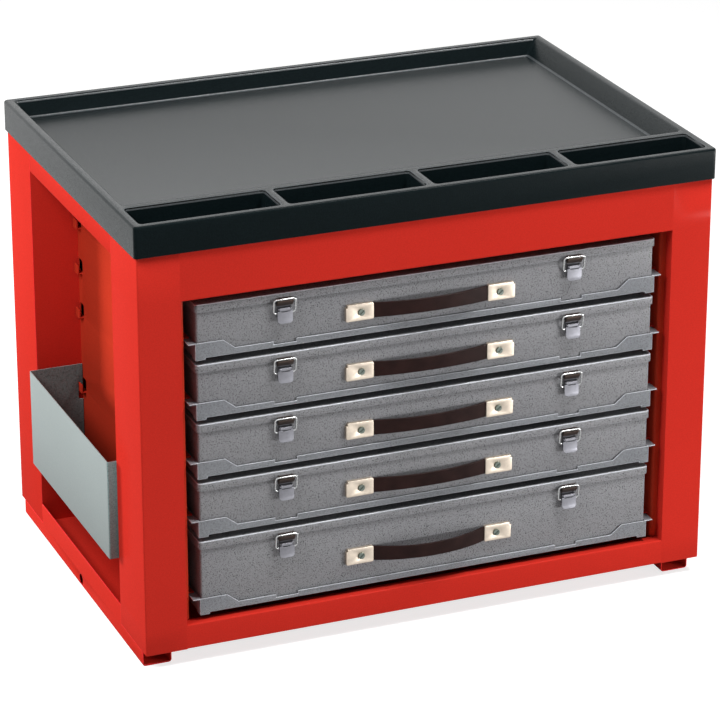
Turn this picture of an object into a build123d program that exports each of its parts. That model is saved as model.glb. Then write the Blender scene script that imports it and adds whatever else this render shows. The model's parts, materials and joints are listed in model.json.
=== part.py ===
from build123d import *
import os
from math import cos, radians, sin

# A bench cabinet of folded steel sheet. Five carrier trays slide in it, each with a
# latched carrying case. A moulded tray sits on its roof, and a bin hangs in its left side.
# The origin is at floor level under the middle of the whole outline.
# X runs to the right, Y runs to the back and Z runs up. All sizes are millimetres.

os.makedirs("parts", exist_ok=True)

# Cabinet body
body_width = 600.0
body_depth = 410.0
sheet = 1.2
edge_bend = 1.6
pillar_width = 42.5
post_depth = 77.0
jamb_depth = 12.0
sill_top = 42.5
header_height = 53.0
side_back_border = 75.0
side_top_border = 25.0
side_rail_top = 37.8
rail_hem = 12.0
recess_depth = 48.4
wall_bend = 3.0

# Runners that the cabinet stands on
runner_height = 16.5
runner_width = 30.0
runner_setback = 12.0
runner_bend = 3.2
right_runner_inset = 6.0
drain_hole = 12.0
drain_hole_rise = 7.6

# Moulded top tray
tray_clearance = 0.5
tray_wall = 2.0
tray_skirt_drop = 3.4
tray_rim_rise = 28.0
rim_width = 9.0
tray_floor_drop = 18.0
tray_floor_thick = 2.5
side_draft = 11.0
end_draft = 5.0
pocket_depth_y = 44.0
pocket_count = 4
pocket_wall = 10.0
pocket_draft = 2.0
tray_corner = 4.0
rim_round = 2.4
mouth_chamfer = 1.2
recess_corner = 3.0
rib_thick = 2.5
rib_columns = 4
rib_rows = 2

# Cases and their carrier trays, counted from the top
case_side_gap = 10.4
case_back_gap = 37.0
case_sheet = 1.0
case_corner = 2.0
case_setback = 7.0
shelf_pitch = 61.5
header_gap = 7.5
sill_gap = 8.5
shallow_case_height = 53.5
deep_case_height = 75.0
shelf_count = 5
lid_band = 8.0
lid_clearance = 0.8
carrier_clearance = 0.8
carrier_sheet = 1.0
carrier_side_height = 15.8
flange_width = 7.3
lip_low = 6.4
lip_notch = 3.2
lip_tall_length = 28.0
lip_slope_length = 12.0
notch_width = 23.0
notch_offset = 151.0
lug_length = 10.0
lug_height = 2.0
seat_gap = 0.3

# Guide channels on the inner walls
guide_start = 20.0
guide_end_gap = 8.0
guide_reach = 7.4
guide_sheet = 1.2
guide_play = 0.5

# Draw latches: lever, wire loop, catch and bracket
latch_offset = 152.0
pivot_drop = 16.0
pivot_reach = 3.6
pin_radius = 0.8
pin_clearance = 0.05
curl_radius = 1.7
lever_width = 17.0
lever_length = 13.6
lever_thick = 1.1
lever_cheek = 1.0
lever_flare = 1.2
lever_tip_cut = 2.6
ear_thick = 0.8
ear_radius = 1.5
ear_gap = 0.3
bracket_thick = 1.0
bracket_height = 12.0
wire_radius = 0.95
loop_bend = 1.5
loop_pivot_back = 0.5
loop_pivot_drop = 4.0
loop_rise = 14.2
loop_width = 22.2
loop_standoff = 3.0
catch_width = 16.0
catch_thick = 0.9
catch_gap = 0.85

# Strap handles
handle_spacing = 149.0
shallow_handle_drop = 31.1
deep_handle_drop = 43.2
cap_length = 29.0
cap_width = 17.0
cap_height = 3.8
cap_corner = 1.4
cap_edge = 0.6
cap_plate = 1.0
cap_side = 0.5
strap_width = 15.4
strap_waist = 14.1
strap_thick = 2.2
strap_lift = 0.3
strap_entry = 8.0
shallow_strap_bow = 7.0
deep_strap_bow = 14.0
screw_shift = 1.5
screw_head = 3.3
screw_dome = 1.3
screw_shank = 1.5
head_sides = 8
round_sides = 8
wire_sides = 6

# Side bin and the lanced hooks that carry it
bin_proud = 9.0
bin_sheet = 1.2
bin_end_gap = 2.5
bin_bottom = 87.5
bin_height = 104.0
bin_wall_gap = 0.5
bin_back_rise = 12.0
hook_width = 11.0
hook_thick = 1.5
hook_tongue = 8.0
hook_reach = 5.0
lance_gap = 0.7
bin_lift = 9.0
hook_inset = 4.5
hook_row_heights = (161.5, 245.0, 293.5, 342.5)

# Places that follow from the sizes above
tray_lap = tray_clearance + tray_wall
handle_rise = strap_lift + strap_thick + max(shallow_strap_bow, deep_strap_bow)
strap_proud = handle_rise - case_setback
mid_x = (bin_proud - tray_lap) / 2
left_x = mid_x - body_width / 2
right_x = mid_x + body_width / 2
front_y = (strap_proud - tray_lap - body_depth) / 2
back_y = front_y + body_depth
side_front_y = front_y + post_depth
side_back_y = back_y - side_back_border
side_opening_length = side_back_y - side_front_y
base_z = runner_height
front_opening_height = header_gap + (shelf_count - 1) * shelf_pitch + deep_case_height + sill_gap
opening_top = sill_top + front_opening_height
body_top = opening_top + header_height
roof_under = body_top - sheet
side_opening_top = body_top - side_top_border
wall_x = left_x + recess_depth
wall_front_y = front_y + jamb_depth
panel_foot = base_z + sheet
center_plane = Plane.YZ.offset(mid_x)

case_width = body_width - 2 * (recess_depth + sheet + case_side_gap)
case_depth = body_depth - case_setback - case_back_gap
case_front_y = front_y + case_setback
carrier_half = case_width / 2 + carrier_clearance + carrier_sheet
carrier_front_y = case_front_y - carrier_clearance - carrier_sheet
carrier_back_y = case_front_y + case_depth + carrier_clearance + carrier_sheet
first_lid_top = opening_top - header_gap


def label_and_save(piece, name):
    piece.label = name
    export_step(piece, "parts/" + name + ".step")


def folded_section(points, inward, bend_corners=(), bend=0.0):
    """Section of a folded sheet: its outer line, thickened towards the inside of the fold."""
    with BuildSketch() as section:
        with BuildLine():
            with BuildLine(mode=Mode.PRIVATE) as outer:
                Polyline(*points)
                corners = [v for v in outer.vertices() if on_corner(v, bend_corners)]
                if corners:
                    fillet(corners, bend)
            add(outer.line)
            offset(amount=sheet, side=inward, kind=Kind.INTERSECTION)
        make_face()
    return section.sketch


def on_corner(vertex, corners):
    return any(abs(vertex.X - x) < 0.01 and abs(vertex.Y - y) < 0.01 for x, y in corners)


# Front posts: side border, front pillar and jamb in one folded strip
front_corner = (left_x, front_y)
with BuildPart() as front_left_post:
    with BuildSketch(Plane.XY.offset(base_z)):
        add(folded_section(
            [
                (wall_x, side_front_y),
                (left_x, side_front_y),
                front_corner,
                (left_x + pillar_width, front_y),
                (left_x + pillar_width, wall_front_y),
            ],
            Side.LEFT, [front_corner], edge_bend))
    extrude(amount=roof_under - base_z)
label_and_save(front_left_post.part, "front_left_post")

with BuildPart() as front_right_post:
    mirror(front_left_post.part, about=center_plane)
label_and_save(front_right_post.part, "front_right_post")

# Front header and sill run between the posts
front_span = body_width - 2 * pillar_width
with BuildPart() as front_header:
    with BuildSketch(Plane.YZ.offset(left_x + pillar_width)):
        add(folded_section(
            [
                (wall_front_y, opening_top),
                (front_y, opening_top),
                (front_y, roof_under),
                (wall_front_y, roof_under),
            ],
            Side.RIGHT, [(front_y, opening_top)], edge_bend))
    extrude(amount=front_span)
label_and_save(front_header.part, "front_header")

with BuildPart() as front_sill:
    with BuildSketch(Plane.YZ.offset(left_x + pillar_width)):
        add(folded_section(
            [
                (wall_front_y, sill_top),
                (front_y, sill_top),
                (front_y, base_z),
                (wall_front_y, base_z),
            ],
            Side.LEFT, [(front_y, sill_top), (front_y, base_z)], edge_bend))
    extrude(amount=front_span)
label_and_save(front_sill.part, "front_sill")

# Top side rails close each side opening above
with BuildPart() as left_top_rail:
    with BuildSketch(Plane.XZ.offset(-side_back_y)):
        add(folded_section(
            [
                (left_x + rail_hem, side_opening_top),
                (left_x, side_opening_top),
                (left_x, roof_under),
                (left_x + rail_hem, roof_under),
            ],
            Side.RIGHT))
    extrude(amount=side_opening_length)
label_and_save(left_top_rail.part, "left_top_rail")

with BuildPart() as right_top_rail:
    mirror(left_top_rail.part, about=center_plane)
label_and_save(right_top_rail.part, "right_top_rail")


def base_rail(outer_x, inward, inset):
    """Lower side rail with the open channel runner below it, joggled in by the inset."""
    web_x = outer_x + inward * inset
    inner_x = web_x + inward * runner_width
    fold_side = Side.LEFT if inward > 0 else Side.RIGHT
    joggle = sheet if inset else 0.0
    with BuildPart() as rail:
        with BuildSketch(Plane.XZ.offset(-(back_y - runner_setback))):
            add(folded_section(
                [(web_x, base_z), (web_x, 0), (inner_x, 0), (inner_x, base_z)],
                fold_side, [(web_x, 0), (inner_x, 0)], runner_bend))
        extrude(amount=body_depth - 2 * runner_setback)
        with BuildSketch(Plane.XZ.offset(-side_back_y)):
            with Locations((outer_x + inward * sheet / 2, base_z - joggle)):
                Rectangle(sheet, side_rail_top - base_z + joggle, align=(Align.CENTER, Align.MIN))
            if inset:
                with Locations((outer_x + inward * (inset + sheet) / 2, base_z - sheet / 2)):
                    Rectangle(inset + sheet, sheet)
        extrude(amount=side_opening_length)
        drain_place = ((side_front_y + side_back_y) / 2, drain_hole_rise)
        with BuildSketch(Plane.YZ.offset(web_x)):
            with Locations(drain_place):
                Circle(drain_hole / 2)
        extrude(amount=inward * 2 * sheet, mode=Mode.SUBTRACT)
    return rail.part


left_base_rail = base_rail(left_x, 1, 0.0)
label_and_save(left_base_rail, "left_base_rail")
right_base_rail = base_rail(right_x, -1, right_runner_inset)
label_and_save(right_base_rail, "right_base_rail")

# Back panel wraps round both rear corners and returns into the side recesses
back_corners = [(left_x, back_y), (right_x, back_y)]
far_wall_x = 2 * mid_x - wall_x
with BuildPart() as back_panel:
    with BuildSketch(Plane.XY.offset(base_z)):
        add(folded_section(
            [
                (wall_x, side_back_y),
                (left_x, side_back_y),
                *back_corners,
                (right_x, side_back_y),
                (far_wall_x, side_back_y),
            ],
            Side.RIGHT, back_corners, edge_bend))
    extrude(amount=roof_under - base_z)
label_and_save(back_panel.part, "back_panel")

# Floor lies between the inner walls, with a wing under each side recess
with BuildPart() as floor_panel:
    with BuildSketch(Plane.XY.offset(base_z)):
        floor_length = back_y - sheet - wall_front_y
        with Locations((mid_x, wall_front_y + floor_length / 2)):
            Rectangle(body_width - 2 * recess_depth, floor_length)
        with Locations((mid_x, side_front_y + side_opening_length / 2)):
            Rectangle(body_width - 2 * sheet, side_opening_length)
    extrude(amount=sheet)
label_and_save(floor_panel.part, "floor_panel")

with BuildPart() as roof_panel:
    with BuildSketch(Plane.XY.offset(roof_under)):
        with Locations((mid_x, front_y + body_depth / 2)):
            Rectangle(body_width, body_depth)
    extrude(amount=sheet)
label_and_save(roof_panel.part, "roof_panel")


def case_height(shelf):
    return deep_case_height if shelf == shelf_count else shallow_case_height


def lid_top_z(shelf):
    return first_lid_top - shelf_pitch * (shelf - 1)


def carrier_floor_z(shelf):
    """Underside of the carrier tray's floor."""
    return lid_top_z(shelf) - case_height(shelf) - seat_gap - carrier_sheet


def flange_top_z(shelf):
    return carrier_floor_z(shelf) + carrier_side_height


# Inner walls: a folded wall, five guide channels inside and lanced hooks in the recess
guide_end_y = back_y - sheet - guide_end_gap
guide_start_y = front_y + guide_start
hook_rows_y = (side_front_y + bin_end_gap + hook_inset, side_back_y - bin_end_gap - hook_inset)
wall_inside_x = wall_x + sheet
wall_corner = (wall_inside_x, wall_front_y)
with BuildPart() as left_inner_wall:
    with BuildSketch(Plane.XY.offset(panel_foot)):
        add(folded_section(
            [
                (left_x + pillar_width, wall_front_y),
                wall_corner,
                (wall_inside_x, back_y - sheet),
            ],
            Side.LEFT, [wall_corner], wall_bend))
    extrude(amount=roof_under - panel_foot)
    # each guide is a C channel whose lips hold the carrier's flange
    for shelf in range(1, shelf_count + 1):
        flange_under = flange_top_z(shelf) - carrier_sheet
        lower = flange_under - seat_gap - guide_sheet
        upper = flange_top_z(shelf) + guide_play
        with BuildSketch(Plane.XZ.offset(-guide_end_y)):
            with Locations((wall_inside_x, lower)):
                Rectangle(guide_reach, guide_sheet, align=(Align.MIN, Align.MIN))
            with Locations((wall_inside_x, upper)):
                Rectangle(guide_reach, guide_sheet, align=(Align.MIN, Align.MIN))
        extrude(amount=guide_end_y - guide_start_y)
    # each hook is a tongue lanced out of the wall and bent up, which leaves a window above it
    window_height = hook_reach + hook_tongue
    for row_y in hook_rows_y:
        for hook_z in hook_row_heights:
            with BuildSketch(Plane.YZ.offset(wall_x)) as window:
                with Locations((row_y, hook_z + hook_thick)):
                    Rectangle(
                        hook_width + 2 * lance_gap, window_height, align=(Align.CENTER, Align.MIN))
                chamfer(window.vertices().group_by(Axis.Z)[-1], hook_thick)
            extrude(amount=sheet, mode=Mode.SUBTRACT)
            with BuildSketch(Plane.XZ.offset(-(row_y + hook_width / 2))):
                with BuildLine():
                    Polyline(
                        (wall_x, hook_z),
                        (wall_x - hook_reach, hook_z),
                        (wall_x - hook_reach, hook_z + hook_thick + hook_tongue),
                        (wall_x - hook_reach + hook_thick, hook_z + hook_thick + hook_tongue),
                        (wall_x - hook_reach + hook_thick, hook_z + hook_thick),
                        (wall_x, hook_z + hook_thick),
                        close=True)
                make_face()
            extrude(amount=hook_width)
label_and_save(left_inner_wall.part, "left_inner_wall")

with BuildPart() as right_inner_wall:
    mirror(left_inner_wall.part, about=center_plane)
label_and_save(right_inner_wall.part, "right_inner_wall")

# Top tray: one moulding with a main recess, a row of pockets, a skirt and ribs below
rim_top = body_top + tray_rim_rise
skirt_bottom = body_top - tray_skirt_drop
tray_length = body_width + 2 * tray_lap
tray_depth = body_depth + 2 * tray_lap
tray_mid_y = front_y + body_depth / 2
inner_length = tray_length - 2 * rim_width
pocket_length = (inner_length - (pocket_count - 1) * pocket_wall) / pocket_count
pocket_mid_y = front_y - tray_lap + rim_width + pocket_depth_y / 2
main_front_y = front_y - tray_lap + rim_width + pocket_depth_y + pocket_wall
main_back_y = back_y + tray_lap - rim_width
main_depth = main_back_y - main_front_y
main_mid_y = (main_front_y + main_back_y) / 2
tray_floor_z = rim_top - tray_floor_drop
pocket_floor_z = body_top + tray_floor_thick
with BuildPart() as top_tray:
    with BuildSketch(Plane.XY.offset(skirt_bottom)):
        with Locations((mid_x, tray_mid_y)):
            RectangleRounded(tray_length, tray_depth, tray_corner)
    extrude(amount=rim_top - skirt_bottom)
    fillet(top_tray.faces().sort_by(Axis.Z)[-1].edges(), rim_round)
    # the main recess narrows down to its floor
    with BuildSketch(Plane.XY.offset(tray_floor_z)):
        with Locations((mid_x, main_mid_y)):
            RectangleRounded(
                inner_length - 2 * side_draft, main_depth - 2 * end_draft, recess_corner)
    with BuildSketch(Plane.XY.offset(rim_top)):
        with Locations((mid_x, main_mid_y)):
            RectangleRounded(inner_length, main_depth, recess_corner)
    loft(mode=Mode.SUBTRACT)
    # the pockets reach down to the roof
    pocket_pitch = pocket_length + pocket_wall
    for index in range(pocket_count):
        pocket_x = mid_x + (index - (pocket_count - 1) / 2) * pocket_pitch
        with BuildSketch(Plane.XY.offset(pocket_floor_z)):
            with Locations((pocket_x, pocket_mid_y)):
                RectangleRounded(
                    pocket_length - 2 * pocket_draft, pocket_depth_y - 2 * pocket_draft,
                    recess_corner)
        with BuildSketch(Plane.XY.offset(rim_top)):
            with Locations((pocket_x, pocket_mid_y)):
                RectangleRounded(pocket_length, pocket_depth_y, recess_corner)
        loft(mode=Mode.SUBTRACT)
    mouth_edges = top_tray.faces().sort_by(Axis.Z)[-1].inner_wires().edges()
    chamfer(mouth_edges, mouth_chamfer)
    # the skirt is open below and slips over the roof
    with BuildSketch(Plane.XY.offset(skirt_bottom)):
        with Locations((mid_x, tray_mid_y)):
            Rectangle(body_width + 2 * tray_clearance, body_depth + 2 * tray_clearance)
    extrude(amount=body_top - skirt_bottom, mode=Mode.SUBTRACT)
    # ribs between the floor and the roof, with clear cells between them
    cell_area_x = inner_length - 2 * side_draft
    cell_area_y = main_depth - 2 * end_draft
    cell_x = (cell_area_x - (rib_columns - 1) * rib_thick) / rib_columns
    cell_y = (cell_area_y - (rib_rows - 1) * rib_thick) / rib_rows
    with BuildSketch(Plane.XY.offset(body_top)):
        with Locations((mid_x, main_mid_y)):
            with GridLocations(cell_x + rib_thick, cell_y + rib_thick, rib_columns, rib_rows):
                Rectangle(cell_x, cell_y)
    extrude(amount=tray_floor_z - tray_floor_thick - body_top, mode=Mode.SUBTRACT)
label_and_save(top_tray.part, "top_tray")

# Side bin: open above and behind, its end plates hang on the lower hooks
bin_back_x = wall_x - bin_wall_gap
bin_front_x = left_x - bin_proud
bin_length = side_opening_length - 2 * bin_end_gap
bin_mid_y = (side_front_y + side_back_y) / 2
bin_hook_z = hook_row_heights[0]
with BuildPart() as side_bin:
    with BuildSketch(Plane.XY.offset(bin_bottom)):
        with Locations(((bin_front_x + bin_back_x) / 2, bin_mid_y)):
            Rectangle(bin_back_x - bin_front_x, bin_length)
    extrude(amount=bin_height)
    fillet(side_bin.edges().filter_by(Axis.Z).group_by(Axis.X)[0], edge_bend)
    open_faces = [side_bin.faces().sort_by(Axis.Z)[-1], side_bin.faces().sort_by(Axis.X)[-1]]
    offset(amount=-bin_sheet, openings=open_faces)
    # low upstand along the back of the floor
    with BuildSketch(Plane.YZ.offset(bin_back_x - bin_sheet)):
        with Locations((bin_mid_y, bin_bottom)):
            Rectangle(bin_length, bin_back_rise, align=(Align.CENTER, Align.MIN))
    extrude(amount=bin_sheet)
    # notch in each end plate that lifts off its hook
    notch_back_x = wall_x - hook_reach - seat_gap
    notch_front_x = notch_back_x + hook_thick + 2 * seat_gap
    with BuildSketch(Plane.XZ.offset(-bin_mid_y)):
        with BuildLine():
            Polyline(
                (wall_x, bin_hook_z - bin_lift - seat_gap),
                (notch_back_x, bin_hook_z - bin_lift - seat_gap),
                (notch_back_x, bin_hook_z + hook_thick + hook_tongue + seat_gap),
                (notch_front_x, bin_hook_z + hook_thick + hook_tongue + seat_gap),
                (notch_front_x, bin_hook_z + hook_thick + seat_gap),
                (wall_x, bin_hook_z + hook_thick + seat_gap),
                close=True)
        make_face()
    extrude(amount=bin_length, both=True, mode=Mode.SUBTRACT)
label_and_save(side_bin.part, "side_bin")


def carrier_tray(floor_z):
    """Sheet tray under a case: stepped front lip, side flanges and corner lugs."""
    length = carrier_back_y - carrier_front_y
    tall = carrier_side_height
    with BuildPart() as carrier:
        with BuildSketch(Plane.XY.offset(floor_z)):
            with Locations((mid_x, carrier_front_y + length / 2)):
                Rectangle(2 * carrier_half, length)
        extrude(amount=carrier_sheet)
        # side walls with outward flanges
        for side in (-1, 1):
            wall = mid_x + side * (carrier_half - carrier_sheet / 2)
            flange = mid_x + side * (carrier_half + flange_width / 2)
            with BuildSketch(Plane.XZ.offset(-carrier_back_y)):
                with Locations((wall, floor_z)):
                    Rectangle(carrier_sheet, tall, align=(Align.CENTER, Align.MIN))
                with Locations((flange, floor_z + tall)):
                    Rectangle(flange_width, carrier_sheet, align=(Align.CENTER, Align.MAX))
            extrude(amount=length)
        # the front lip steps down between its tall ends, with a notch below each latch
        slope_end = carrier_half - lip_tall_length - lip_slope_length
        half_profile = [
            (carrier_half, 0),
            (carrier_half, tall),
            (carrier_half - lip_tall_length, tall),
            (slope_end, lip_low),
            (notch_offset + notch_width / 2, lip_low),
            (notch_offset + notch_width / 2, lip_notch),
            (notch_offset - notch_width / 2, lip_notch),
            (notch_offset - notch_width / 2, lip_low),
        ]
        lip_points = [(mid_x + x, floor_z + z) for x, z in half_profile]
        lip_points += [(mid_x - x, floor_z + z) for x, z in reversed(half_profile)]
        with BuildSketch(Plane.XZ.offset(-carrier_front_y - carrier_sheet)):
            with BuildLine():
                Polyline(*lip_points, close=True)
            make_face()
        extrude(amount=carrier_sheet)
        # low back stop
        with BuildSketch(Plane.XZ.offset(-carrier_back_y)):
            with Locations((mid_x, floor_z)):
                Rectangle(2 * carrier_half, lip_low, align=(Align.CENTER, Align.MIN))
        extrude(amount=carrier_sheet)
        # lugs under the corners
        lug_x = carrier_half - lug_length / 2
        lug_y = length / 2 - lug_length / 2
        with BuildSketch(Plane.XY.offset(floor_z)):
            with Locations((mid_x, carrier_front_y + length / 2)):
                with GridLocations(2 * lug_x, 2 * lug_y, 2, 2):
                    Rectangle(lug_length, lug_length)
        extrude(amount=-lug_height)
    return carrier.part


def case_base(bottom_z, height):
    """Open box of the case, which ends just under the lid's top plate."""
    wall_top = height - case_sheet - seat_gap
    with BuildPart() as base:
        with BuildSketch(Plane.XY.offset(bottom_z)):
            with Locations((mid_x, case_front_y + case_depth / 2)):
                RectangleRounded(case_width, case_depth, case_corner)
        extrude(amount=wall_top)
        with BuildSketch(Plane.XY.offset(bottom_z + case_sheet)):
            with Locations((mid_x, case_front_y + case_depth / 2)):
                Rectangle(case_width - 2 * case_sheet, case_depth - 2 * case_sheet)
        extrude(amount=wall_top, mode=Mode.SUBTRACT)
    return base.part


def case_lid(top_z):
    """Shallow cap with a band that overlaps the case's walls."""
    gap = lid_clearance
    lap = gap + case_sheet
    with BuildPart() as lid:
        with BuildSketch(Plane.XY.offset(top_z)):
            with Locations((mid_x, case_front_y + case_depth / 2)):
                RectangleRounded(case_width + 2 * lap, case_depth + 2 * lap, case_corner + lap)
        extrude(amount=-lid_band)
        with BuildSketch(Plane.XY.offset(top_z - case_sheet)):
            with Locations((mid_x, case_front_y + case_depth / 2)):
                Rectangle(case_width + 2 * gap, case_depth + 2 * gap)
        extrude(amount=-lid_band, mode=Mode.SUBTRACT)
    return lid.part


def latch_plane(latch_x, lid_top):
    """Plane at a latch's pivot: its x runs out of the case and its y runs up."""
    return Plane(
        origin=(latch_x, case_front_y - pivot_reach, lid_top - pivot_drop),
        x_dir=(0, -1, 0), z_dir=(-1, 0, 0))


ear_inner = lever_width / 2 - lever_cheek - ear_gap - ear_thick
curl_half = ear_inner - ear_gap
wire_hole = wire_radius + pin_clearance


def small_round(radius, hole=False, sides=round_sides):
    """Outline of a small pin, or with hole set of the bore round it, with few sides."""
    RegularPolygon(radius, sides, major_radius=not hole)


def latch_lever(plane):
    """Pressed lever: curl round the pin, finger plate and two cheeks that hold the loop."""
    inner = curl_radius - lever_thick
    tip_z = plane.origin.Z - lever_length
    with BuildPart() as lever:
        with BuildSketch(plane):
            small_round(curl_radius, hole=True)
            with Locations((inner + lever_thick / 2, 0)):
                Rectangle(lever_thick, curl_radius + ear_gap, align=(Align.CENTER, Align.MAX))
        extrude(amount=curl_half, both=True)
        with BuildSketch(plane):
            with BuildLine():
                Polyline(
                    (inner, -curl_radius),
                    (curl_radius, -curl_radius),
                    (curl_radius, -lever_length + 3 * lever_flare),
                    (curl_radius + lever_flare, -lever_length),
                    (inner + lever_flare, -lever_length),
                    (inner, -lever_length + 3 * lever_flare),
                    close=True)
            make_face()
        extrude(amount=lever_width / 2, both=True)
        # the finger end is cut back at its corners
        tip_edges = lever.edges().filter_by_position(Axis.Z, tip_z - 0.1, tip_z + 0.1)
        chamfer(tip_edges.filter_by(Axis.Y), lever_tip_cut)
        # cheeks reach back beside the bracket
        with BuildSketch(plane.offset(-lever_width / 2), plane.offset(lever_width / 2 - lever_cheek)):
            with BuildLine():
                Polyline(
                    (inner, -curl_radius),
                    (-loop_pivot_back - wire_hole, -loop_pivot_drop + 1.6 * wire_hole),
                    (-loop_pivot_back - 1.6 * wire_hole, -loop_pivot_drop - wire_hole),
                    (inner, -loop_pivot_drop - 4 * wire_hole),
                    close=True)
            make_face()
        extrude(amount=lever_cheek)
        with BuildSketch(plane):
            with Locations((-loop_pivot_back, -loop_pivot_drop)):
                small_round(wire_hole, hole=True)
            small_round(pin_radius + pin_clearance, hole=True)
        extrude(amount=lever_width, both=True, mode=Mode.SUBTRACT)
    return lever.part


def loop_bar_reach():
    """How far the loop's top bar stands out of the case front."""
    return case_sheet + lid_clearance + loop_standoff


def cut_corners(points, cut):
    """The same route with each corner between its ends replaced by a short slanting run."""
    route = [points[0]]
    for before, corner, after in zip(points, points[1:], points[2:]):
        route.append(corner + (before - corner).normalized() * cut)
        route.append(corner + (after - corner).normalized() * cut)
    return route + [points[-1]]


def latch_loop(plane):
    """Bent wire whose ends turn in through the lever's cheeks."""
    lean = loop_bar_reach() - (pivot_reach - loop_pivot_back)
    tip = Vector(lever_width / 2 - lever_cheek - ear_gap, 0, 0)
    half = Vector(loop_width / 2, 0, 0)
    foot = plane.origin + plane.x_dir * -loop_pivot_back + plane.y_dir * -loop_pivot_drop
    head = foot + plane.x_dir * lean + plane.y_dir * loop_rise
    route = [foot - tip, foot - half, head - half, head + half, foot + half, foot + tip]
    with BuildPart() as loop:
        with BuildLine() as path:
            Polyline(*cut_corners(route, loop_bend))
        with BuildSketch(Plane(origin=path.line @ 0, z_dir=path.line % 0)):
            small_round(wire_radius, sides=wire_sides)
        sweep(transition=Transition.RIGHT)
    return loop.part


def catch_section():
    """Hooked section of the catch: plate on the lid's band, seat and upturned lip."""
    lid_face = case_sheet + lid_clearance - pivot_reach
    bar = loop_bar_reach() - pivot_reach
    bar_z = loop_rise - loop_pivot_drop
    seat = bar_z - wire_radius - seat_gap
    lip = bar + wire_radius + catch_gap
    return [
        (lid_face, seat - catch_thick),
        (lip + catch_thick, seat - catch_thick),
        (lip + catch_thick, bar_z - seat_gap),
        (lip, bar_z - seat_gap),
        (lip, seat),
        (lid_face + catch_thick, seat),
        (lid_face + catch_thick, pivot_drop - 1.5 * catch_thick),
        (lid_face, pivot_drop - 1.5 * catch_thick),
    ]


def latch_fixed_parts(plane):
    """Bracket with its pin on the case, and catch on the lid."""
    plate_face = -pivot_reach + bracket_thick
    with BuildPart() as bracket:
        with BuildSketch(plane):
            with Locations((-pivot_reach, 2 * ear_radius)):
                Rectangle(bracket_thick, bracket_height, align=(Align.MIN, Align.MAX))
        extrude(amount=ear_inner + ear_thick, both=True)
        # each ear stands on the plate and is faceted round the pin
        with BuildSketch(plane.offset(-ear_inner - ear_thick), plane.offset(ear_inner)):
            with BuildLine():
                Polyline(
                    (plate_face, -2 * ear_radius),
                    (0, -ear_radius),
                    (ear_radius * cos(radians(45)), -ear_radius * sin(radians(45))),
                    (ear_radius, 0),
                    (ear_radius * cos(radians(45)), ear_radius * sin(radians(45))),
                    (0, ear_radius),
                    (plate_face, ear_radius),
                    close=True)
            make_face()
        extrude(amount=ear_thick)
        with BuildSketch(plane):
            small_round(pin_radius)
        extrude(amount=ear_inner + ear_thick, both=True)
    with BuildPart() as catch:
        with BuildSketch(plane):
            with BuildLine():
                Polyline(*catch_section(), close=True)
            make_face()
        extrude(amount=catch_width / 2, both=True)
    return [bracket.part, catch.part]


def handle_cap(center_x, center_z, inner_side):
    """End cap pressed from plate, its long sides folded back to the case, and its screw."""
    screw_x = center_x + inner_side * screw_shift
    face_y = case_front_y - cap_height
    with BuildPart() as cap:
        with BuildSketch(Plane.XZ.offset(-case_front_y)) as outline:
            with Locations((center_x, center_z)):
                Rectangle(cap_length, cap_width)
            chamfer(outline.vertices(), cap_corner)
        extrude(amount=cap_height)
        chamfer(cap.faces().sort_by(Axis.Y)[0].edges(), cap_edge)
        with BuildSketch(Plane.XZ.offset(-case_front_y)):
            with Locations((center_x, center_z)):
                Rectangle(cap_length, cap_width - 2 * cap_side)
        extrude(amount=cap_height - cap_plate, mode=Mode.SUBTRACT)
        with BuildSketch(Plane.XZ.offset(-case_front_y)):
            with Locations((screw_x, center_z)):
                small_round(screw_shank, hole=True)
        extrude(amount=cap_height, mode=Mode.SUBTRACT)
    with BuildPart() as screw:
        with BuildSketch(Plane.XZ.offset(-case_front_y)):
            with Locations((screw_x, center_z)):
                small_round(screw_shank)
        extrude(amount=cap_height)
        with BuildSketch(Plane.XZ.offset(-face_y)):
            with Locations((screw_x, center_z)):
                RegularPolygon(screw_head, head_sides)
        extrude(amount=screw_dome, taper=40)
    return [cap.part, screw.part]


def handle_strap(center_z, bow):
    """Strap that bows away from the case front between its caps, narrowest in its middle."""
    mouth = handle_spacing / 2 - cap_length / 2
    rest_y = case_front_y - strap_lift - strap_thick / 2
    crown_y = rest_y - bow
    with BuildPart() as strap:
        with BuildSketch(Plane.XY.offset(center_z - strap_width / 2)):
            with BuildLine():
                Line((mid_x - mouth - strap_entry, rest_y), (mid_x - mouth, rest_y))
                ThreePointArc((mid_x - mouth, rest_y), (mid_x, crown_y), (mid_x + mouth, rest_y))
                Line((mid_x + mouth, rest_y), (mid_x + mouth + strap_entry, rest_y))
            trace(line_width=strap_thick)
        extrude(amount=strap_width)
        # shallow wedges off both long edges draw the middle in
        waist_drop = (strap_width - strap_waist) / 2
        with BuildSketch(Plane.XZ.offset(-case_front_y)):
            for side in (-1, 1):
                edge_z = center_z + side * strap_width / 2
                with BuildLine():
                    Polyline(
                        (mid_x - mouth, edge_z),
                        (mid_x - mouth / 3, edge_z - side * waist_drop),
                        (mid_x + mouth / 3, edge_z - side * waist_drop),
                        (mid_x + mouth, edge_z),
                        (mid_x, edge_z + side * waist_drop),
                        close=True)
                make_face()
        extrude(amount=2 * bow + cap_height, mode=Mode.SUBTRACT)
    return strap.part


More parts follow.
